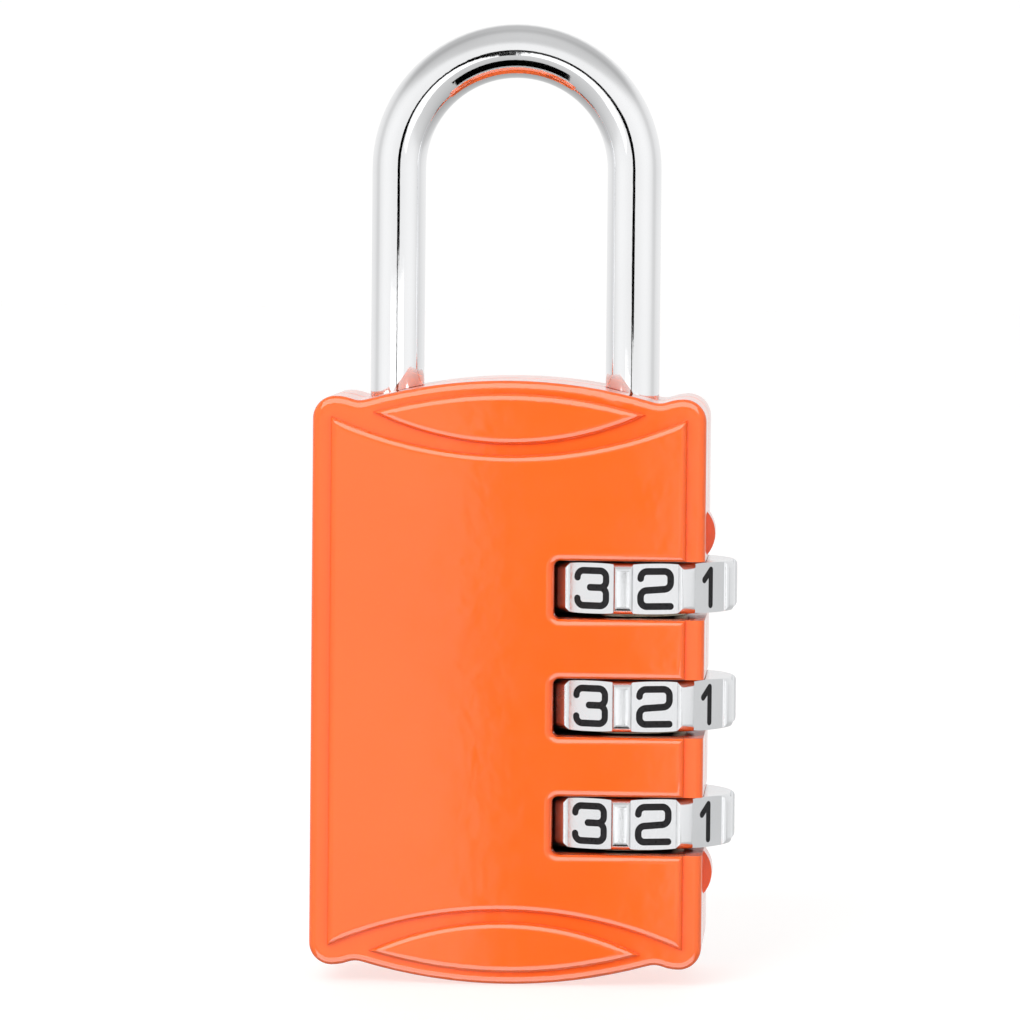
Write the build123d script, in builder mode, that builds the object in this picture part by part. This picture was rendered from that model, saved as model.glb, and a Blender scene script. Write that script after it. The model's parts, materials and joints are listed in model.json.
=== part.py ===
"""Luggage combination padlock: three number dials, a lifting shackle and a two-shell case.

Millimetres. X runs from the toe of the shackle to the dials, Y from the front face to the
rear face, Z up. The origin is the inner top of the shackle, where a zip pull would bear.
The lock stands at its open code 0-0-0, with the shackle pushed in.
"""

import os
from math import asin, cos, radians, sin, sqrt

from build123d import *

os.makedirs("parts", exist_ok=True)

# overall sizes
WIRE_D = 3.0  # shackle wire
BOW_CLEARANCE = 16.7  # crown of the case to the inside of the bow
CASE_WIDTH = 21.7
CASE_HEIGHT = 33.35
DIAL_RADIUS = 6.08  # over the ribs
DIAL_HEIGHT = 2.8
DIAL_PROUD = 1.8  # dial out of the side of the case
DIAL_DROP = 1.2  # middle dial below the middle of the case

# outline and panels of the case
CORNER_R = 1.25
HORN_WIDTH = 1.25  # from a corner's peak in to the valley beside the crown
HORN_DROP = 0.93  # corner's peak below the crown
VALLEY_DROP = 1.24
VALLEY_R = 1.2
EDGE_R = 0.5
SEAM_CHAMFER = 0.12
PANEL_RAISE = 0.45
PANEL_R = 0.42
PANEL_MARGIN = 1.05  # main panel in from each side
MAIN_CORNER_DROP = 2.05
MAIN_SAG = 2.05  # further dip of the main panel's arched ends
LENS_INSET = 2.3  # lens panel in from the main panel's sides
LENS_TIP_DROP = 1.8
LENS_RISE = 1.1
LENS_SAG = 1.7

# dials
FLAT_INSET = 0.38  # middle of a numeral's flat below the tops of the ribs
RIB_WIDTH = 1.1
RIB_R = 0.3
DIAL_R = 0.45  # rounding of the rim
DIGITS = 10
DIGIT_LEAD = 2.0  # degrees that the numerals stand ahead of the index, towards the front
NUMERAL_WIDTH = 1.7  # centre line to centre line
NUMERAL_HEIGHT = 1.93
NUMERAL_STROKE = 0.38
NUMERAL_BEND = 0.36
NUMERAL_DEPTH = 0.2
PAINT_DEPTH = 0.15

# windows
WINDOW_REACH = 4.02  # from the dials' axis to the inner end of a window
WINDOW_R = 0.35
WINDOW_OVER = 0.12  # gap above a dial
WINDOW_UNDER = 0.3  # gap below a dial
CAVITY_CLEAR = 0.12  # dial to the wall behind it, and below the faces of the case
PARTITION = 3.28  # wall between two windows

# code sleeves
SLEEVE_WALL = 0.55
SLEEVE_TOP_PLAY = 0.05
GATE_WIDTH = 1.3
KEY_REACH = 0.4
KEY_WIDTH = 0.75
KEY_HEIGHT = 0.8
SHIFT = 0.9  # travel that frees the keys while a code is set
SKIRT_ENTRY = 0.4  # sleeve's skirt below its window
POCKET_WEB = 0.53  # wall left under a sleeve spring
RUNNING = 0.05  # running clearance on a radius
LEG_RUNNING = 0.08

# shackle details
TOE_DEPTH = 4.0
TOE_GAP = 0.2
LIFT = 5.2
SEAT_HEIGHT = 2.2  # floor under the lift spring, above the case's lowest point
HEEL_GAP = 0.4  # end of the long leg above that floor
LEG_WALL = 0.55  # around the bored end
LEG_BORE_DEPTH = 3.4
TOE_R = 0.45

# locking studs
STUD_PROUD = 1.0  # out of the leg
STUD_HEIGHT = 1.6
STUD_WIDTH = 1.2
STUD_REST = 1.0  # stud's top below the middle of its dial
SHANK_R = 0.45
SHANK_START = 0.4
STUD_CLEAR = 0.15

# springs and pins
COIL_CLEAR = 0.1  # coil to the wall around it
LIFT_COIL = 0.3
LIFT_TURNS = 7
SLEEVE_COIL = 0.4
SLEEVE_TURNS = 3
LEAF_THICKNESS = 0.25
LEAF_WIDTH = 3.0
LEAF_END = 1.09  # leaf past its window, above and below
LEAF_SET = 0.7  # back of the leaf behind the dial's room
FINGER_WIDTH = 0.8
FINGER_HEIGHT = 2.6
FINGER_GAP = 0.02  # finger to the flat it rests on
PIN_R = 0.6
PIN_LENGTH = 7.0
PIN_INSET = 1.35  # pin centre in from the side of the case
PIN_DROP = 2.6  # pin centre in from the crown and from the foot

# index beads
BEAD_LENGTH = 2.4
BEAD_RAISE = 0.45
BEAD_DEPTH = 2.4
BEAD_GAP = 0.15  # bead to the window beside it

# derived places
DIAL_FLAT = DIAL_RADIUS - FLAT_INSET
LEG_X = CASE_WIDTH / 2 + DIAL_PROUD - DIAL_RADIUS
BOW_Z = WIRE_D / 2 - LEG_X
CASE_TOP = -BOW_CLEARANCE
CASE_MID = CASE_TOP - CASE_HEIGHT / 2
CASE_FOOT = CASE_TOP - CASE_HEIGHT
CAVITY_R = DIAL_RADIUS + CAVITY_CLEAR
PANEL_Y = CAVITY_R
BORDER_Y = PANEL_Y - PANEL_RAISE
HORN_X = CASE_WIDTH / 2 - CORNER_R
VALLEY_X = HORN_X - HORN_WIDTH
CROWN_R = (VALLEY_X**2 + VALLEY_DROP**2) / (2 * VALLEY_DROP)
SHOULDER_Z = CASE_TOP - CROWN_R + sqrt(CROWN_R**2 - LEG_X**2)  # case top beside a leg
TOE_Z = SHOULDER_Z - TOE_DEPTH
SEAT_Z = CASE_FOOT + SEAT_HEIGHT
HEEL_Z = SEAT_Z + HEEL_GAP
LEG_BORE_R = WIRE_D / 2 - LEG_WALL
PLACES = ("upper", "middle", "lower")
WINDOW_LEFT = LEG_X - WINDOW_REACH
WINDOW_TOP = DIAL_HEIGHT / 2 + WINDOW_OVER
WINDOW_BOTTOM = -DIAL_HEIGHT / 2 - WINDOW_UNDER
WINDOW_HEIGHT = WINDOW_TOP - WINDOW_BOTTOM
DIAL_PITCH = WINDOW_HEIGHT + PARTITION
DIAL_Z = [CASE_MID - DIAL_DROP + DIAL_PITCH * step for step in (1, 0, -1)]
STUD_REACH = WIRE_D / 2 + STUD_PROUD
STUD_BORE_R = STUD_REACH + STUD_CLEAR
STUD_TOP = -STUD_REST
SLEEVE_R = STUD_BORE_R + SLEEVE_WALL
SLEEVE_TOP = WINDOW_TOP - SLEEVE_TOP_PLAY
SLEEVE_FOOT = WINDOW_BOTTOM - SKIRT_ENTRY
POCKET_FLOOR = WINDOW_BOTTOM - PARTITION + POCKET_WEB
CEILING_Z = DIAL_Z[0] + STUD_TOP + LIFT + STUD_CLEAR

LEAF_HEIGHT = WINDOW_HEIGHT + 2 * LEAF_END
LEAF_BACK = LEG_X - CAVITY_R - LEAF_SET
BEAD_OFFSET = WINDOW_TOP + BEAD_GAP + BEAD_LENGTH / 2
PIN_PLACES = [
    (x * (CASE_WIDTH / 2 - PIN_INSET), CASE_MID + z * (CASE_HEIGHT / 2 - PIN_DROP))
    for x in (-1, 1)
    for z in (-1, 1)
]


def outline_plane(depth):
    """A plane facing the front at this depth, with its origin in the middle of the case."""
    return Plane(origin=(0, depth, CASE_MID), x_dir=(1, 0, 0), z_dir=(0, -1, 0))


def numeral_plane(digit, dial_z, depth=0):
    """The plane of one numeral's flat, set in by depth; numeral 0 is the one at the index."""
    angle = radians(-360 / DIGITS * digit - DIGIT_LEAD)
    out = Vector(cos(angle), sin(angle), 0)
    origin = Vector(LEG_X, 0, dial_z) + out * (DIAL_FLAT - depth)
    return Plane(origin=origin, x_dir=(-sin(angle), cos(angle), 0), z_dir=out)


def numeral_strokes(digit):
    """Centre lines of a numeral's strokes, each as its corner points."""
    right = NUMERAL_WIDTH / 2
    left = -right
    top = NUMERAL_HEIGHT / 2
    foot = -top
    hook = 0.6 * top
    waist = 0.04
    six = [
        [(0.6 * right, top), (left, top), (left, foot), (0, foot)],
        [(0, foot), (right, foot), (right, waist), (left, waist)],
    ]
    shapes = {
        0: [
            [(0, top), (left, top), (left, foot), (0, foot)],
            [(0, top), (right, top), (right, foot), (0, foot)],
        ],
        1: [[(-0.45, 0.45 * top), (0.1, top)], [(0.1, top), (0.1, foot)]],
        2: [
            [(left, hook), (left, top), (right, top), (right, 0), (0, -0.05)],
            [(0, -0.05), (left, -0.1), (left, foot), (right, foot)],
        ],
        3: [
            [(left, hook), (left, top), (right, top), (right, waist), (-0.1, waist)],
            [(-0.1, waist), (right, waist), (right, foot), (left, foot), (left, -hook)],
        ],
        4: [[(0.25, top), (left, -0.35), (right, -0.35)], [(0.35, 0.3), (0.35, foot)]],
        5: [
            [(0.9 * right, top), (0.8 * left, top)],
            [(0.8 * left, top), (left, 0.15), (right, 0.25), (right, foot), (left, foot), (left, -hook)],
        ],
        6: six,
        7: [[(left, top), (right, top)], [(right, top), (-0.25, foot)]],
        8: [
            [(0, waist), (0.9 * left, waist), (0.9 * left, top), (0, top)],
            [(0, waist), (0.9 * right, waist), (0.9 * right, top), (0, top)],
            [(0, waist), (left, waist), (left, foot), (0, foot)],
            [(0, waist), (right, waist), (right, foot), (0, foot)],
        ],
        9: [[(-x, -z) for x, z in stroke] for stroke in six],
    }
    return shapes[digit]


def numeral(digit):
    """Draws one numeral in the current sketch, with round stroke ends and bends."""
    for points in numeral_strokes(digit):
        with BuildLine() as stroke:
            if len(points) == 2:
                Line(*points)
            else:
                FilletPolyline(*points, radius=NUMERAL_BEND)
        SlotArc(stroke.wire(), height=NUMERAL_STROKE)


def case_outline():
    """Draws the front outline: crowned ends with a small peak at each corner."""
    side = CASE_WIDTH / 2
    end = CASE_HEIGHT / 2
    rise = VALLEY_DROP - HORN_DROP
    horn_r = (HORN_WIDTH**2 + rise**2) / (2 * rise)
    half_turn = asin(HORN_WIDTH / horn_r) / 2
    peak = end - HORN_DROP
    with BuildLine() as outline:
        for z in (-1, 1):
            valley = z * (end - VALLEY_DROP)
            ThreePointArc((-VALLEY_X, valley), (0, z * end), (VALLEY_X, valley))
            for x in (-1, 1):
                bend = (x * (HORN_X - horn_r * sin(half_turn)), z * (peak - horn_r * (1 - cos(half_turn))))
                ThreePointArc((x * VALLEY_X, valley), bend, (x * HORN_X, z * peak))
                reach = CORNER_R * sqrt(0.5)
                corner = (x * (HORN_X + reach), z * (peak - CORNER_R + reach))
                ThreePointArc((x * HORN_X, z * peak), corner, (x * side, z * (peak - CORNER_R)))
        for x in (-1, 1):
            Line((x * side, CORNER_R - peak), (x * side, peak - CORNER_R))
    make_face(outline.edges())
    valleys = [v for v in vertices() if abs(abs(v.X) - VALLEY_X) < 0.01]
    fillet(valleys, VALLEY_R)


def panel_outlines():
    """Draws the raised panels: the main one and a lens at each end."""
    half = CASE_WIDTH / 2 - PANEL_MARGIN
    lens = half - LENS_INSET
    end = CASE_HEIGHT / 2
    with BuildLine() as panel:
        for z in (-1, 1):
            corner = z * (end - MAIN_CORNER_DROP)
            ThreePointArc((-half, corner), (0, corner - z * MAIN_SAG), (half, corner))
        for x in (-1, 1):
            Line((x * half, MAIN_CORNER_DROP - end), (x * half, end - MAIN_CORNER_DROP))
    make_face(panel.edges())
    for z in (-1, 1):
        tip = z * (end - LENS_TIP_DROP)
        with BuildLine() as panel:
            ThreePointArc((-lens, tip), (0, tip + z * LENS_RISE), (lens, tip))
            ThreePointArc((-lens, tip), (0, tip - z * LENS_SAG), (lens, tip))
        make_face(panel.edges())


def is_panel_face(face):
    """Whether an upright face is the flat of a raised panel."""
    return abs(abs(face.center().Y) - PANEL_Y) < 0.01


def bore(x, low, high, radius):
    """Cuts an upright round hole between two heights."""
    with BuildSketch(Plane.XY.offset(low)) as hole:
        with Locations((x, 0)):
            Circle(radius)
    extrude(hole.sketch, amount=high - low, mode=Mode.SUBTRACT)


# the whole case, parted into its shells below
with BuildPart() as case:
    with BuildSketch(outline_plane(0)):
        case_outline()
    extrude(amount=BORDER_Y)
    fillet(faces().sort_by(Axis.Y)[0].edges(), EDGE_R)
    chamfer(faces().sort_by(Axis.Y)[-1].edges(), SEAM_CHAMFER)
    mirror(about=Plane.XZ)
    with BuildSketch(outline_plane(PANEL_Y)):
        panel_outlines()
    extrude(amount=2 * PANEL_Y)
    # windows, open to the front, the rear and the side
    for dial_z in DIAL_Z:
        with BuildSketch(outline_plane(2 * PANEL_Y)):
            with Locations((WINDOW_LEFT, dial_z + WINDOW_BOTTOM - CASE_MID)):
                RectangleRounded(
                    CASE_WIDTH, WINDOW_HEIGHT, WINDOW_R, align=(Align.MIN, Align.MIN)
                )
        extrude(amount=4 * PANEL_Y, mode=Mode.SUBTRACT)
    fillet(faces().filter_by(Plane.XZ).filter_by(is_panel_face).edges(), PANEL_R)
    # round rooms behind the windows, and the bores on the dials' axis
    for dial_z in DIAL_Z:
        bore(LEG_X, dial_z + WINDOW_BOTTOM, dial_z + WINDOW_TOP, CAVITY_R)
        bore(LEG_X, dial_z + POCKET_FLOOR, dial_z + WINDOW_BOTTOM, SLEEVE_R + RUNNING)
    bore(LEG_X, DIAL_Z[-1] + POCKET_FLOOR, CEILING_Z, STUD_BORE_R)
    bore(LEG_X, SEAT_Z, CASE_TOP, WIRE_D / 2 + LEG_RUNNING)
    bore(-LEG_X, TOE_Z - TOE_GAP, CASE_TOP, WIRE_D / 2 + LEG_RUNNING)
    # slot for each dial's detent leaf, open to the dial's room for its finger
    for dial_z in DIAL_Z:
        with BuildSketch(Plane.XY.offset(dial_z + WINDOW_BOTTOM - LEAF_END - RUNNING)):
            with Locations((LEAF_BACK - RUNNING, 0)):
                Rectangle(
                    LEAF_THICKNESS + 2 * RUNNING, LEAF_WIDTH + 2 * RUNNING, align=(Align.MIN, Align.CENTER)
                )
        extrude(amount=LEAF_HEIGHT + 2 * RUNNING, mode=Mode.SUBTRACT)
        with BuildSketch(Plane.XY.offset(dial_z + WINDOW_BOTTOM)):
            with Locations((LEAF_BACK, 0)):
                Rectangle(LEG_X - LEAF_BACK, LEAF_WIDTH, align=(Align.MIN, Align.CENTER))
        extrude(amount=WINDOW_HEIGHT, mode=Mode.SUBTRACT)
    # blind holes for the pins that hold the shells together
    for x, z in PIN_PLACES:
        with BuildSketch(Plane.XZ.offset(-PIN_LENGTH / 2)):
            with Locations((x, z)):
                Circle(PIN_R)
        extrude(amount=PIN_LENGTH, mode=Mode.SUBTRACT)
    # index beads on the side, above the top window and below the bottom one
    for middle in (DIAL_Z[0] + BEAD_OFFSET, DIAL_Z[-1] + WINDOW_TOP + WINDOW_BOTTOM - BEAD_OFFSET):
        side = CASE_WIDTH / 2
        with BuildSketch(Plane.XZ.offset(-BEAD_DEPTH / 2)):
            with BuildLine():
                ThreePointArc(
                    (side, middle - BEAD_LENGTH / 2),
                    (side + BEAD_RAISE, middle),
                    (side, middle + BEAD_LENGTH / 2),
                )
                Polyline(
                    (side, middle + BEAD_LENGTH / 2),
                    (side - BEAD_RAISE, middle),
                    (side, middle - BEAD_LENGTH / 2),
                )
            make_face()
        extrude(amount=BEAD_DEPTH)

with BuildPart() as front_shell:
    add(case.part)
    split(bisect_by=Plane.XZ, keep=Keep.TOP)
front_shell.part.label = "front_shell"
export_step(front_shell.part, "parts/front_shell.step")

with BuildPart() as rear_shell:
    add(case.part)
    split(bisect_by=Plane.XZ, keep=Keep.BOTTOM)
rear_shell.part.label = "rear_shell"
export_step(rear_shell.part, "parts/rear_shell.step")

with BuildPart() as case_pins:
    for x, z in PIN_PLACES:
        with BuildSketch(Plane.XZ.offset(-PIN_LENGTH / 2)):
            with Locations((x, z)):
                Circle(PIN_R)
        extrude(amount=PIN_LENGTH)
case_pins.part.label = "case_pins"
export_step(case_pins.part, "parts/case_pins.step")

# one bent wire: long leg under the dials' axis, bow, and the short toe leg
with BuildPart() as shackle:
    with BuildLine():
        Line((LEG_X, 0, HEEL_Z), (LEG_X, 0, BOW_Z))
        ThreePointArc((LEG_X, 0, BOW_Z), (0, 0, BOW_Z + LEG_X), (-LEG_X, 0, BOW_Z))
        Line((-LEG_X, 0, BOW_Z), (-LEG_X, 0, TOE_Z))
    with BuildSketch(Plane.XY.offset(HEEL_Z)):
        with Locations((LEG_X, 0)):
            Circle(WIRE_D / 2)
    sweep()
    fillet(edges().filter_by(GeomType.CIRCLE).filter_by_position(Axis.Z, TOE_Z, TOE_Z), TOE_R)
    bore(LEG_X, HEEL_Z, HEEL_Z + LEG_BORE_DEPTH, LEG_BORE_R)
    for dial_z in DIAL_Z:
        with BuildSketch(Plane.YZ.offset(LEG_X - WIRE_D / 2)):
            with Locations((0, dial_z + STUD_TOP - STUD_HEIGHT / 2)):
                Circle(SHANK_R)
        extrude(amount=WIRE_D / 2 - SHANK_START, mode=Mode.SUBTRACT)
shackle.part.label = "shackle"
export_step(shackle.part, "parts/shackle.step")

# a stud under each sleeve, its shank pressed into the long leg
with BuildPart() as locking_studs:
    for dial_z in DIAL_Z:
        with BuildSketch(Plane.XY.offset(dial_z + STUD_TOP - STUD_HEIGHT)):
            with Locations((LEG_X - STUD_REACH, 0)):
                Rectangle(STUD_REACH, STUD_WIDTH, align=(Align.MIN, Align.CENTER))
            with Locations((LEG_X, 0)):
                Circle(STUD_REACH, mode=Mode.INTERSECT)
                Circle(WIRE_D / 2, mode=Mode.SUBTRACT)
        extrude(amount=STUD_HEIGHT)
    for dial_z in DIAL_Z:
        with BuildSketch(Plane.YZ.offset(LEG_X - (STUD_REACH + WIRE_D / 2) / 2)):
            with Locations((0, dial_z + STUD_TOP - STUD_HEIGHT / 2)):
                Circle(SHANK_R)
        extrude(amount=(STUD_REACH + WIRE_D / 2) / 2 - SHANK_START)
locking_studs.part.label = "locking_studs"
export_step(locking_studs.part, "parts/locking_studs.step")

# lift spring, from the floor of the case up into the bored end of the long leg
with BuildPart() as shackle_spring:
    coil_r = LEG_BORE_R - COIL_CLEAR - LIFT_COIL / 2
    length = HEEL_Z + LEG_BORE_DEPTH - SEAT_Z - LIFT_COIL
    with BuildLine():
        Helix(length / LIFT_TURNS, length, coil_r, center=(LEG_X, 0, SEAT_Z + LIFT_COIL / 2))
    with BuildSketch(Plane.XZ):
        with Locations((LEG_X + coil_r, SEAT_Z + LIFT_COIL / 2)):
            Circle(LIFT_COIL / 2)
    sweep(is_frenet=True)
shackle_spring.part.label = "shackle_spring"
export_step(shackle_spring.part, "parts/shackle_spring.step")

rib_angle = 180 / DIGITS - DIGIT_LEAD
for place, dial_z in zip(PLACES, DIAL_Z):
    low = dial_z - DIAL_HEIGHT / 2

    # ten flats between raised ribs, on a bore with ten key notches in its upper half
    with BuildPart() as number_dial:
        with BuildSketch(Plane.XY.offset(low)):
            with Locations((LEG_X, 0)):
                Circle(DIAL_RADIUS)
        extrude(amount=DIAL_HEIGHT)
        fillet(edges(), DIAL_R)
        with BuildSketch(Plane.XY.offset(low)):
            with Locations((LEG_X, 0)):
                RegularPolygon(DIAL_FLAT, DIGITS, major_radius=False, rotation=rib_angle)
                with PolarLocations(DIAL_RADIUS - WIRE_D / 2, DIGITS, start_angle=rib_angle):
                    RectangleRounded(WIRE_D, RIB_WIDTH, RIB_R)
        extrude(amount=DIAL_HEIGHT, mode=Mode.INTERSECT)
        bore(LEG_X, low, dial_z, SLEEVE_R + KEY_REACH + RUNNING)
        bore(LEG_X, dial_z, dial_z + DIAL_HEIGHT / 2, SLEEVE_R + RUNNING)
        with BuildSketch(Plane.XY.offset(dial_z)):
            with Locations((LEG_X, 0)):
                with PolarLocations(0, DIGITS):
                    Rectangle(
                        SLEEVE_R + KEY_REACH + RUNNING,
                        KEY_WIDTH + 2 * RUNNING,
                        align=(Align.MIN, Align.CENTER),
                    )
        extrude(amount=DIAL_HEIGHT / 2, mode=Mode.SUBTRACT)
        for digit in range(DIGITS):
            with BuildSketch(numeral_plane(digit, dial_z)):
                numeral(digit)
            extrude(amount=-NUMERAL_DEPTH, mode=Mode.SUBTRACT)
    number_dial.part.label = f"{place}_number_dial"
    export_step(number_dial.part, f"parts/{place}_number_dial.step")

    # paint lying in the cut numerals
    with BuildPart() as dial_numerals:
        for digit in range(DIGITS):
            with BuildSketch(numeral_plane(digit, dial_z, NUMERAL_DEPTH)):
                numeral(digit)
            extrude(amount=PAINT_DEPTH)
    dial_numerals.part.label = f"{place}_dial_numerals"
    export_step(dial_numerals.part, f"parts/{place}_dial_numerals.step")

    # sleeve keyed to the dial, with a gate that a stud passes at the open code
    with BuildPart() as code_sleeve:
        with BuildSketch(Plane.XY.offset(dial_z + SLEEVE_FOOT)):
            with Locations((LEG_X, 0)):
                Circle(SLEEVE_R)
                Circle(STUD_BORE_R, mode=Mode.SUBTRACT)
        extrude(amount=SLEEVE_TOP - SLEEVE_FOOT)
        with BuildSketch(Plane.XY.offset(dial_z)):
            with Locations((LEG_X, 0)):
                Circle((STUD_BORE_R + SLEEVE_R) / 2)
                Circle(WIRE_D / 2 + RUNNING, mode=Mode.SUBTRACT)
                Rectangle(STUD_BORE_R, GATE_WIDTH, align=(Align.MAX, Align.CENTER), mode=Mode.SUBTRACT)
        extrude(amount=SLEEVE_TOP)
        with BuildSketch(Plane.XY.offset(dial_z + RUNNING)):
            with Locations((LEG_X + STUD_BORE_R, 0)):
                Rectangle(
                    SLEEVE_R + KEY_REACH - STUD_BORE_R, KEY_WIDTH, align=(Align.MIN, Align.CENTER)
                )
        extrude(amount=KEY_HEIGHT)
    code_sleeve.part.label = f"{place}_code_sleeve"
    export_step(code_sleeve.part, f"parts/{place}_code_sleeve.step")

    # spring that holds the sleeve's key up in its dial
    with BuildPart() as sleeve_spring:
        floor_z = dial_z + POCKET_FLOOR
        coil_r = SLEEVE_R + RUNNING - COIL_CLEAR - SLEEVE_COIL / 2
        length = dial_z + SLEEVE_FOOT - floor_z - SLEEVE_COIL
        with BuildLine():
            Helix(length / SLEEVE_TURNS, length, coil_r, center=(LEG_X, 0, floor_z + SLEEVE_COIL / 2))
        with BuildSketch(Plane.XZ):
            with Locations((LEG_X + coil_r, floor_z + SLEEVE_COIL / 2)):
                Circle(SLEEVE_COIL / 2)
        sweep(is_frenet=True)
    sleeve_spring.part.label = f"{place}_sleeve_spring"
    export_step(sleeve_spring.part, f"parts/{place}_sleeve_spring.step")

    # leaf with a bent finger that rests on the dial's inner flat
    with BuildPart() as detent_leaf:
        with BuildSketch(Plane.XY.offset(dial_z + WINDOW_BOTTOM - LEAF_END)):
            with Locations((LEAF_BACK, 0)):
                Rectangle(LEAF_THICKNESS, LEAF_WIDTH, align=(Align.MIN, Align.CENTER))
        extrude(amount=LEAF_HEIGHT)
        face_x = LEAF_BACK + LEAF_THICKNESS
        nose_x = LEG_X - DIAL_FLAT - FINGER_GAP - FINGER_WIDTH / 2 * sin(radians(DIGIT_LEAD))
        high = dial_z + FINGER_HEIGHT / 2
        low = dial_z - FINGER_HEIGHT / 2
        with BuildSketch(Plane.XZ.offset(-FINGER_WIDTH / 2)):
            with BuildLine():
                ThreePointArc((face_x, low), (nose_x, dial_z), (face_x, high))
                Line((face_x, high), (LEAF_BACK, high))
                ThreePointArc((LEAF_BACK, high), (nose_x - LEAF_THICKNESS, dial_z), (LEAF_BACK, low))
                Line((LEAF_BACK, low), (face_x, low))
            make_face()
        extrude(amount=FINGER_WIDTH)
    detent_leaf.part.label = f"{place}_detent_leaf"
    export_step(detent_leaf.part, f"parts/{place}_detent_leaf.step")
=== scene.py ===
"""Looks of the luggage combination padlock: orange lacquer, chrome, black paint, brass and spring steel.

Lengths are in millimetres on the frame's axes, and MM turns them into metres. The front faces -Y.
"""

import json
import math

import bpy
from mathutils import Matrix, Vector


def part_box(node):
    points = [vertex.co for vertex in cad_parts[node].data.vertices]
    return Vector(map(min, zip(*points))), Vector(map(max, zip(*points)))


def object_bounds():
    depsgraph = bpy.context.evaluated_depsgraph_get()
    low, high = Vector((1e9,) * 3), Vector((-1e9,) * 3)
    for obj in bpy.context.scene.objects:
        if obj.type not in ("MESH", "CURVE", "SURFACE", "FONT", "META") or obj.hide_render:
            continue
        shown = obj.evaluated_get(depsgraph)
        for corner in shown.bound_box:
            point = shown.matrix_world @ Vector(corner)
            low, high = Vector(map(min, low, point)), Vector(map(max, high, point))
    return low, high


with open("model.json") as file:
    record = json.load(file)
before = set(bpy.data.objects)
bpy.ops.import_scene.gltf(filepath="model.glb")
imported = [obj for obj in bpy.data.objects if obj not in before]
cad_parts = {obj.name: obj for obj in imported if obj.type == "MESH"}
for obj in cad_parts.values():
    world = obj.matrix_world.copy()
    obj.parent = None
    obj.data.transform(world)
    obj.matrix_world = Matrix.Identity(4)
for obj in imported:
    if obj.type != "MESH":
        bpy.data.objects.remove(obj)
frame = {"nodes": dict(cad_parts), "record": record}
cad_low, cad_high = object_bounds()
nodes = frame["nodes"]
scene = bpy.context.scene

MM = 0.001
CASE_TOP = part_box("front_shell")[1].z

# lacquer
CROWN = 1.3  # middle of each end of the case beyond its shoulders
BARE_AND_SHADED_FROM = 0.9  # depth inside the case where the lacquer starts to thin out and the painted shade begins
BARE_AND_SHADED_TO = 1.9  # depth where the metal is bare and fully painted near-black as shade
RAGGED_EDGE = 0.3  # how far that border wanders
CORNER_SHADE_REACH = 0.9  # width of the painted shade beside an inside corner

# smoothing of the meshes
WELD_GAP = 0.0002
FLAT_ANGLE = math.radians(0.2)
CREASE_ANGLE = math.radians(32)
FACE_WEIGHT = 80

# stage
FLOOR_GAP = 0.05  # floor below the lock
FLOOR_REACH = 3000
WALL_DISTANCE = 2000
WALL_HALF_HEIGHT = 3000

# camera
AIM_Z = -23.575
DISTANCE = 350
AZIMUTH = math.radians(3.07)
ELEVATION = math.radians(2.82)
ROLL = math.radians(0.52)
SENSOR = 36
LENS = 221.01
SHIFT_X = -0.00382  # share of the picture's width
SHIFT_Y = -0.00912


class Nodes:
    """A small helper that builds one node material."""

    def __init__(self, name):
        self.material = bpy.data.materials.new(name)
        self.material.use_nodes = True
        self.tree = self.material.node_tree
        self.shader = self.tree.nodes["Principled BSDF"]
        self.coords = self.tree.nodes.new("ShaderNodeTexCoord")

    def add(self, kind, **values):
        """A node of a kind, with properties or inputs set by name."""
        node = self.tree.nodes.new(kind)
        for key, value in values.items():
            if hasattr(node, key):
                setattr(node, key, value)
            else:
                node.inputs[key.replace("_", " ")].default_value = value
        return node

    def link(self, source, target):
        self.tree.links.new(source, target)

    def noise(self, scale, detail=4.0, stretch=(1, 1, 1)):
        """Noise on the piece's own coordinates; scale is in features per millimetre."""
        mapping = self.add("ShaderNodeMapping")
        mapping.inputs["Scale"].default_value = [scale / MM * s for s in stretch]
        self.link(self.coords.outputs["Object"], mapping.inputs["Vector"])
        noise = self.add("ShaderNodeTexNoise", Scale=1.0, Detail=detail)
        self.link(mapping.outputs["Vector"], noise.inputs["Vector"])
        return noise.outputs["Fac"]

    def spread(self, value, low, high, from_low=0.3, from_high=0.7):
        """A value mapped from one range to another."""
        node = self.add("ShaderNodeMapRange")
        ends = {"From Min": from_low, "From Max": from_high, "To Min": low, "To Max": high}
        for socket, number in ends.items():
            node.inputs[socket].default_value = number
        self.link(value, node.inputs["Value"])
        return node.outputs["Result"]

    def blend(self, factor, first, second):
        """A mix of two colours, each a constant or a socket."""
        node = self.add("ShaderNodeMix", data_type="RGBA")
        self.link(factor, node.inputs["Factor"])
        colour_inputs = [socket for socket in node.inputs if socket.type == "RGBA"]
        for socket, colour in zip(colour_inputs, (first, second)):
            if isinstance(colour, (list, tuple)):
                socket.default_value = colour
            else:
                self.link(colour, socket)
        return next(socket for socket in node.outputs if socket.type == "RGBA")

    def math(self, operation, first, second=0.0):
        node = self.add("ShaderNodeMath", operation=operation)
        for socket, value in zip(node.inputs, (first, second)):
            if isinstance(value, bpy.types.NodeSocket):
                self.link(value, socket)
            else:
                socket.default_value = value
        return node.outputs["Value"]

    def bump(self, height, distance):
        """Bump from a height field; distance is in millimetres."""
        node = self.add("ShaderNodeBump", Strength=1.0, Distance=distance * MM)
        self.link(height, node.inputs["Height"])
        return node.outputs["Normal"]

    def set(self, **values):
        """The shader's inputs by name, each a constant or a socket."""
        for key, value in values.items():
            socket = self.shader.inputs[key.replace("_", " ")]
            if isinstance(value, bpy.types.NodeSocket):
                self.link(value, socket)
            else:
                socket.default_value = value


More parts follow.
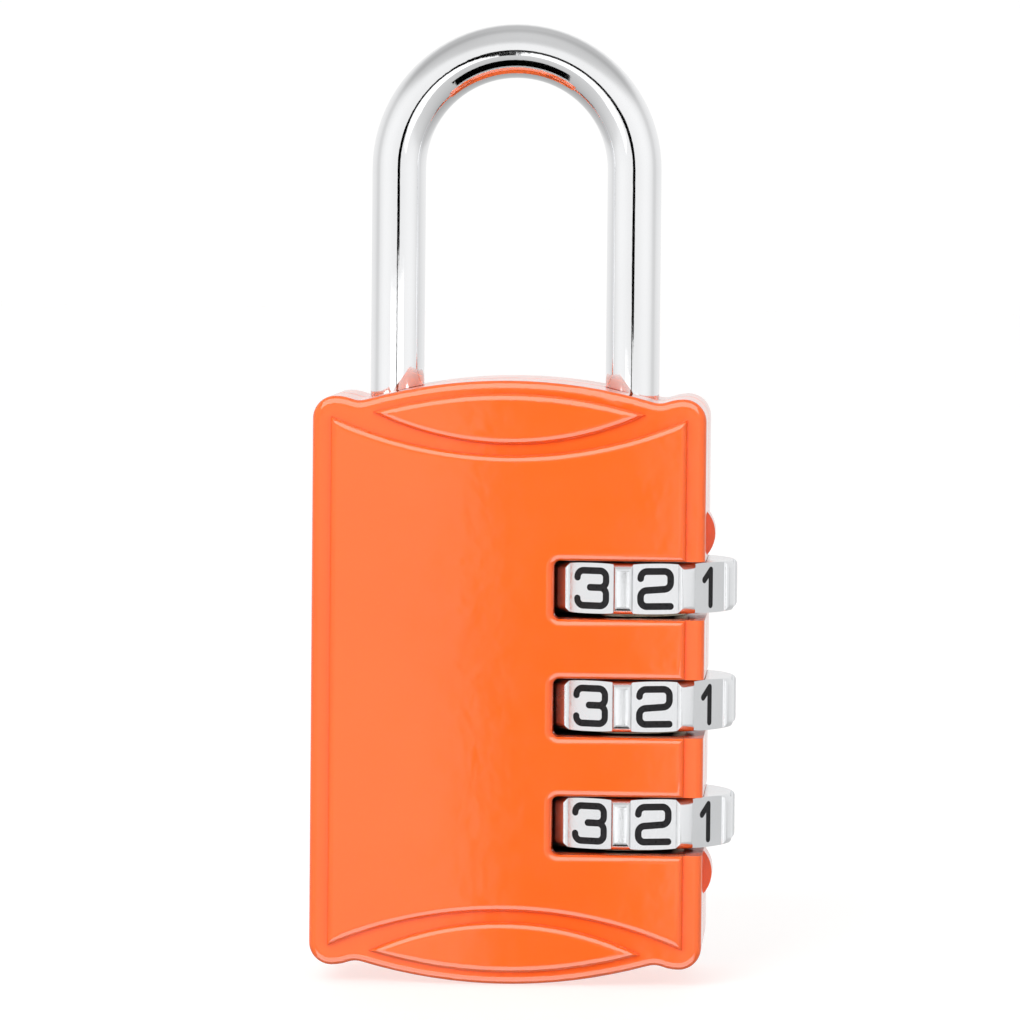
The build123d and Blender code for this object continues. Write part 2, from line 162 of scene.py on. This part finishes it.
def depth_inside_case(m):
    """How far a point lies in from the nearest outer face of the case, in metres."""
    place = m.add("ShaderNodeSeparateXYZ")
    m.link(m.coords.outputs["Object"], place.inputs["Vector"])
    middle = (cad_low.z + CASE_TOP) / 2
    half_height = (CASE_TOP - cad_low.z) / 2 - CROWN * MM
    from_middle = m.math("SUBTRACT", place.outputs["Z"], middle)
    in_depth = m.math("SUBTRACT", cad_high.y, m.math("ABSOLUTE", place.outputs["Y"]))
    in_width = m.math("SUBTRACT", -cad_low.x, m.math("ABSOLUTE", place.outputs["X"]))
    in_height = m.math("SUBTRACT", half_height, m.math("ABSOLUTE", from_middle))
    return m.math("MINIMUM", m.math("MINIMUM", in_depth, in_width), in_height)


def lacquer():
    """Sprayed lacquer with painted shade beside inside corners, thinning out to bare metal inside the
    windows and bores, where its colour is a near-black painted shade.
    """
    m = Nodes("orange_lacquer")
    tone = m.blend(m.spread(m.noise(0.08, 3.0), 0, 1), (0.85, 0.119, 0.0155, 1), (0.87, 0.131, 0.0185, 1))
    flake = m.spread(m.noise(9.0, 2.0), 0.0, 0.15, 0.62, 0.8)
    tone = m.blend(flake, tone, (0.95, 0.22, 0.04, 1))

    # painted shade: occlusion darkens the lacquer towards deep red close to inside corners and in the
    # grooves
    corner = m.add("ShaderNodeAmbientOcclusion", samples=6, Distance=CORNER_SHADE_REACH * MM)
    shade = m.spread(corner.outputs["AO"], 0.55, 0.0, 0.3, 0.95)
    tone = m.blend(shade, tone, (0.78, 0.055, 0.008, 1))

    # deep in the windows and bores the coat thins out to bare metal, and the colour goes to a near-black
    # painted shade
    wander = m.math("MULTIPLY", m.noise(1.5, 4.0), RAGGED_EDGE * MM)
    ragged = m.math("ADD", depth_inside_case(m), wander)
    inside = m.spread(ragged, 0.0, 1.0, BARE_AND_SHADED_FROM * MM, BARE_AND_SHADED_TO * MM)
    # painted shade: the bare metal deep in the openings is given a near-black colour
    bare_metal_and_shade = m.blend(m.spread(m.noise(2.5, 4.0), 0, 1), (0.02, 0.014, 0.012, 1), (0.05, 0.04, 0.036, 1))

    peel = m.bump(m.noise(0.9, 2.0), 0.006)
    m.set(
        Base_Color=m.blend(inside, tone, bare_metal_and_shade),
        Roughness=m.spread(m.noise(0.35, 5.0), 0.32, 0.42),
        Specular_IOR_Level=0.0,
        Coat_Weight=m.math("SUBTRACT", 1.0, inside),
        Coat_Roughness=m.spread(m.noise(0.5, 6.0), 0.05, 0.1),
        Coat_IOR=1.5,
        Normal=peel,
        Coat_Normal=peel,
    )
    return m.material


def chrome(name, colour, low, high, grain, depth, stretch=(1, 1, 1)):
    """Plating with faint smears; low and high are roughnesses, grain and depth are its bump's."""
    m = Nodes(name)
    smear = m.noise(0.25, 6.0, stretch)
    dulled = [0.94 * c for c in colour[:3]] + [1]
    m.set(
        Base_Color=m.blend(m.spread(smear, 0, 1), dulled, colour),
        Metallic=1.0,
        Roughness=m.spread(smear, low, high),
        Normal=m.bump(m.noise(grain, 3.0, stretch), depth),
    )
    return m.material


def enamel():
    """Black paint in the cut numerals."""
    m = Nodes("black_numeral_paint")
    grain = m.noise(6.0, 3.0)
    m.set(
        Base_Color=m.blend(m.spread(grain, 0, 1), (0.006, 0.006, 0.007, 1), (0.016, 0.016, 0.018, 1)),
        Roughness=m.spread(grain, 0.25, 0.42),
        Specular_IOR_Level=0.2,
        Normal=m.bump(m.noise(4.0, 2.0), 0.02),
    )
    return m.material


def metal(name, dark, light, low, high, stretch=(1, 1, 1), depth=0.004):
    """Plain metal with a fine grain, which stretch can draw out; low and high are roughnesses."""
    m = Nodes(name)
    grain = m.noise(6.0, 4.0, stretch)
    m.set(
        Base_Color=m.blend(m.spread(m.noise(0.6, 4.0), 0, 1), dark, light),
        Metallic=1.0,
        Roughness=m.spread(grain, low, high),
        Normal=m.bump(grain, depth),
    )
    return m.material


# stretch of the grain on drawn wire and on turned work
DRAWN = (1, 1, 0.3)
TURNED = (0.2, 0.2, 3)
MATERIALS = {
    "case_lacquer": lacquer(),
    "shackle_chrome": chrome(
        "shackle_chrome_plate", (0.95, 0.955, 0.965, 1), 0.03, 0.07, grain=3.0, depth=0.002, stretch=DRAWN
    ),
    "dial_chrome": chrome("dial_satin_chrome", (0.86, 0.87, 0.885, 1), 0.16, 0.28, grain=5.0, depth=0.006),
    "numeral_paint": enamel(),
    "sleeve_brass": metal(
        "turned_brass", (0.5, 0.42, 0.3, 1), (0.66, 0.58, 0.45, 1), 0.2, 0.38, stretch=TURNED, depth=0.006
    ),
    "spring_steel": metal("drawn_spring_steel", (0.3, 0.3, 0.31, 1), (0.52, 0.52, 0.53, 1), 0.22, 0.4),
    "pin_steel": metal("plain_pin_steel", (0.4, 0.4, 0.41, 1), (0.6, 0.6, 0.62, 1), 0.2, 0.35),
}


def smooth(piece, is_wire):
    """Rounds that shade smoothly and flats that stay flat; the meshes come split along each face."""
    for polygon in piece.data.polygons:
        polygon.use_smooth = True
    weld = piece.modifiers.new("weld", "WELD")
    weld.merge_threshold = WELD_GAP * MM
    if not is_wire:
        flats = piece.modifiers.new("flats", "DECIMATE")
        flats.decimate_type = "DISSOLVE"
        flats.angle_limit = FLAT_ANGLE
    crease = piece.modifiers.new("crease", "EDGE_SPLIT")
    crease.split_angle = CREASE_ANGLE
    if not is_wire:
        normals = piece.modifiers.new("normals", "WEIGHTED_NORMAL")
        normals.keep_sharp = True
        normals.weight = FACE_WEIGHT


for part in frame["record"]["subparts"]:
    piece = nodes[part["node"]]
    piece.data.materials.clear()
    piece.data.materials.append(MATERIALS[part["material_slot"]])
    smooth(piece, is_wire=part["node"] == "shackle" or part["node"].endswith("spring"))


# From here on it is the floor and the studio, none of it part of the lock.


def card(name, corners, material, camera=True, diffuse=True, glossy=True):
    """A four-cornered stage card, seen only by the kinds of ray that are left on."""
    mesh = bpy.data.meshes.new(name)
    mesh.from_pydata([Vector(c) * MM for c in corners], [], [(0, 1, 2, 3)])
    mesh.materials.append(material)
    obj = bpy.data.objects.new(name, mesh)
    scene.collection.objects.link(obj)
    obj.visible_camera = camera
    obj.visible_diffuse = diffuse
    obj.visible_glossy = glossy
    obj.visible_shadow = False


def glow(name, colour, strength):
    """An even emission, for walls and cards."""
    material = bpy.data.materials.new(name)
    material.use_nodes = True
    tree = material.node_tree
    tree.nodes.clear()
    emission = tree.nodes.new("ShaderNodeEmission")
    emission.inputs["Color"].default_value = colour
    emission.inputs["Strength"].default_value = strength
    output = tree.nodes.new("ShaderNodeOutputMaterial")
    tree.links.new(emission.outputs["Emission"], output.inputs["Surface"])
    return material


def pale_floor():
    """A floor that glows a little, so that it stays pale far from the lamps."""
    m = Nodes("pale_floor")
    cloud = m.spread(m.noise(0.02, 3.0), 0, 1)
    m.set(
        Base_Color=m.blend(cloud, (0.36, 0.355, 0.35, 1), (0.38, 0.375, 0.37, 1)),
        Roughness=0.6,
        Emission_Color=(1, 0.99, 0.985, 1),
        Emission_Strength=0.68,
    )
    return m.material


black = glow("studio_black", (0.0, 0.0, 0.0, 1), 0.0)
white = glow("studio_white", (1.0, 1.0, 1.0, 1), 1.3)
backdrop = glow("studio_backdrop", (1.0, 0.995, 0.99, 1), 1.02)

floor_z = cad_low.z / MM - FLOOR_GAP
quadrants = ((-1, -1), (1, -1), (1, 1), (-1, 1))
floor_corners = [(FLOOR_REACH * x, FLOOR_REACH * y, floor_z) for x, y in quadrants]
card("floor", floor_corners, pale_floor(), diffuse=False, glossy=False)

# walls that only the camera sees, as a white sweep all round
for index, (x, y) in enumerate(((0, 1), (1, 0), (0, -1), (-1, 0))):
    start, end = [(WALL_DISTANCE * (x + s * y), WALL_DISTANCE * (y - s * x)) for s in (-1, 1)]
    wall_corners = [
        (*start, -WALL_HALF_HEIGHT),
        (*end, -WALL_HALF_HEIGHT),
        (*end, WALL_HALF_HEIGHT),
        (*start, WALL_HALF_HEIGHT),
    ]
    card(f"wall_{index}", wall_corners, backdrop, diffuse=False, glossy=False)

# upright cards seen only in reflections, which the flat faces and the middle of the wire mirror:
# the camera, its stand and two white boards, as left, right, foot, top, Y and material
for name, left, right, foot, top, y, material in (
    ("camera", -28, 42, -22, 24, -352, black),
    ("stand", -22, -1.3, -120, -22, -353, black),
    ("board_left", -200, -22, -120, -28, -353, white),
    ("board_right", -1.3, 180, -120, -28, -353, white),
):
    upright = [(left, y, foot), (right, y, foot), (right, y, top), (left, y, top)]
    card(name, upright, material, camera=False, diffuse=False)

# a dark table below and in front, which the underside of the bow mirrors
table = [(-260, -500, -400), (260, -500, -400), (260, -170, -400), (-260, -170, -400)]
card("table", table, black, camera=False, diffuse=False)

# Brightness of the studio against a direction's Y or Z, each from -1 to 1. It is brightest in front
# and darker above, below and at the sides, which shades the round wire.
TOWARDS_Y = [(-1, 0.9), (-0.6, 0.98), (-0.2, 0.88), (0.15, 0.7), (0.4, 0.8), (1, 0.9)]
TOWARDS_Z = [(-1, 0.5), (-0.3, 0.75), (-0.12, 0.98), (0.4, 1.0), (0.75, 0.66), (1, 0.74)]


def studio():
    """A white world whose brightness is the product of the two curves above."""
    world = bpy.data.worlds.new("studio")
    world.use_nodes = True
    tree = world.node_tree
    background = tree.nodes["Background"]
    coords = tree.nodes.new("ShaderNodeTexCoord")
    split = tree.nodes.new("ShaderNodeSeparateXYZ")
    tree.links.new(coords.outputs["Generated"], split.inputs["Vector"])
    product = tree.nodes.new("ShaderNodeMath")
    product.operation = "MULTIPLY"
    for factor, axis, stops in ((0, "Y", TOWARDS_Y), (1, "Z", TOWARDS_Z)):
        from_zero = tree.nodes.new("ShaderNodeMath")
        from_zero.operation = "MULTIPLY_ADD"
        from_zero.inputs[1].default_value = 0.5
        from_zero.inputs[2].default_value = 0.5
        ramp = tree.nodes.new("ShaderNodeFloatCurve")
        curve = ramp.mapping.curves[0]
        while len(curve.points) < len(stops):
            curve.points.new(0.5, 0.5)
        for point, (place, level) in zip(curve.points, stops):
            point.location = ((place + 1) / 2, level)
        ramp.mapping.update()
        tree.links.new(split.outputs[axis], from_zero.inputs[0])
        tree.links.new(from_zero.outputs["Value"], ramp.inputs["Value"])
        tree.links.new(ramp.outputs["Value"], product.inputs[factor])
    tree.links.new(product.outputs["Value"], background.inputs["Strength"])
    background.inputs["Color"].default_value = (1, 1, 1, 1)
    return world


scene.world = studio()


def area_light(name, place, target_z, size, power):
    """A rectangular lamp aimed at a height on the lock's middle line."""
    data = bpy.data.lights.new(name, "AREA")
    data.shape = "RECTANGLE"
    data.size, data.size_y = size[0] * MM, size[1] * MM
    data.energy = power
    obj = bpy.data.objects.new(name, data)
    scene.collection.objects.link(obj)
    obj.location = Vector(place) * MM
    aim = Vector((0, 0, target_z)) * MM - obj.location
    obj.rotation_euler = aim.to_track_quat("-Z", "Y").to_euler()
    return obj


# soft light from the front and above, not mirrored in the chrome
for name, place, power in (("key", (-160, -420, 240), 1.9), ("fill", (240, -420, 40), 0.3)):
    lamp = area_light(name, place, -25, (260, 260), power)
    lamp.visible_glossy = False

# rim lights that only glance off the lacquer of the two shells
lacquered = bpy.data.collections.new("lacquered")
for name in ("front_shell", "rear_shell"):
    lacquered.objects.link(nodes[name])
for name, place in (("rim_above", (0, -190, 260)), ("rim_below", (0, -190, -330))):
    lamp = area_light(name, place, -33, (700, 420), 4.4)
    lamp.visible_diffuse = False
    lamp.light_linking.receiver_collection = lacquered


def photo_camera():
    """A camera at the photograph's angle."""
    data = bpy.data.cameras.new("camera")
    data.sensor_width = SENSOR
    data.lens = LENS
    data.shift_x, data.shift_y = SHIFT_X, SHIFT_Y
    data.clip_start, data.clip_end = 0.01, 20
    camera = bpy.data.objects.new("camera", data)
    scene.collection.objects.link(camera)
    level = math.cos(ELEVATION)
    back = Vector((math.sin(AZIMUTH) * level, -math.cos(AZIMUTH) * level, math.sin(ELEVATION)))
    place = (Vector((0, 0, AIM_Z)) + back * DISTANCE) * MM
    facing = (-back).to_track_quat("-Z", "Y").to_matrix().to_4x4()
    camera.matrix_world = Matrix.Translation(place) @ facing @ Matrix.Rotation(ROLL, 4, "Z")
    return camera


scene.camera = photo_camera()
scene.view_settings.view_transform = "Standard"
scene.view_settings.look = "None"
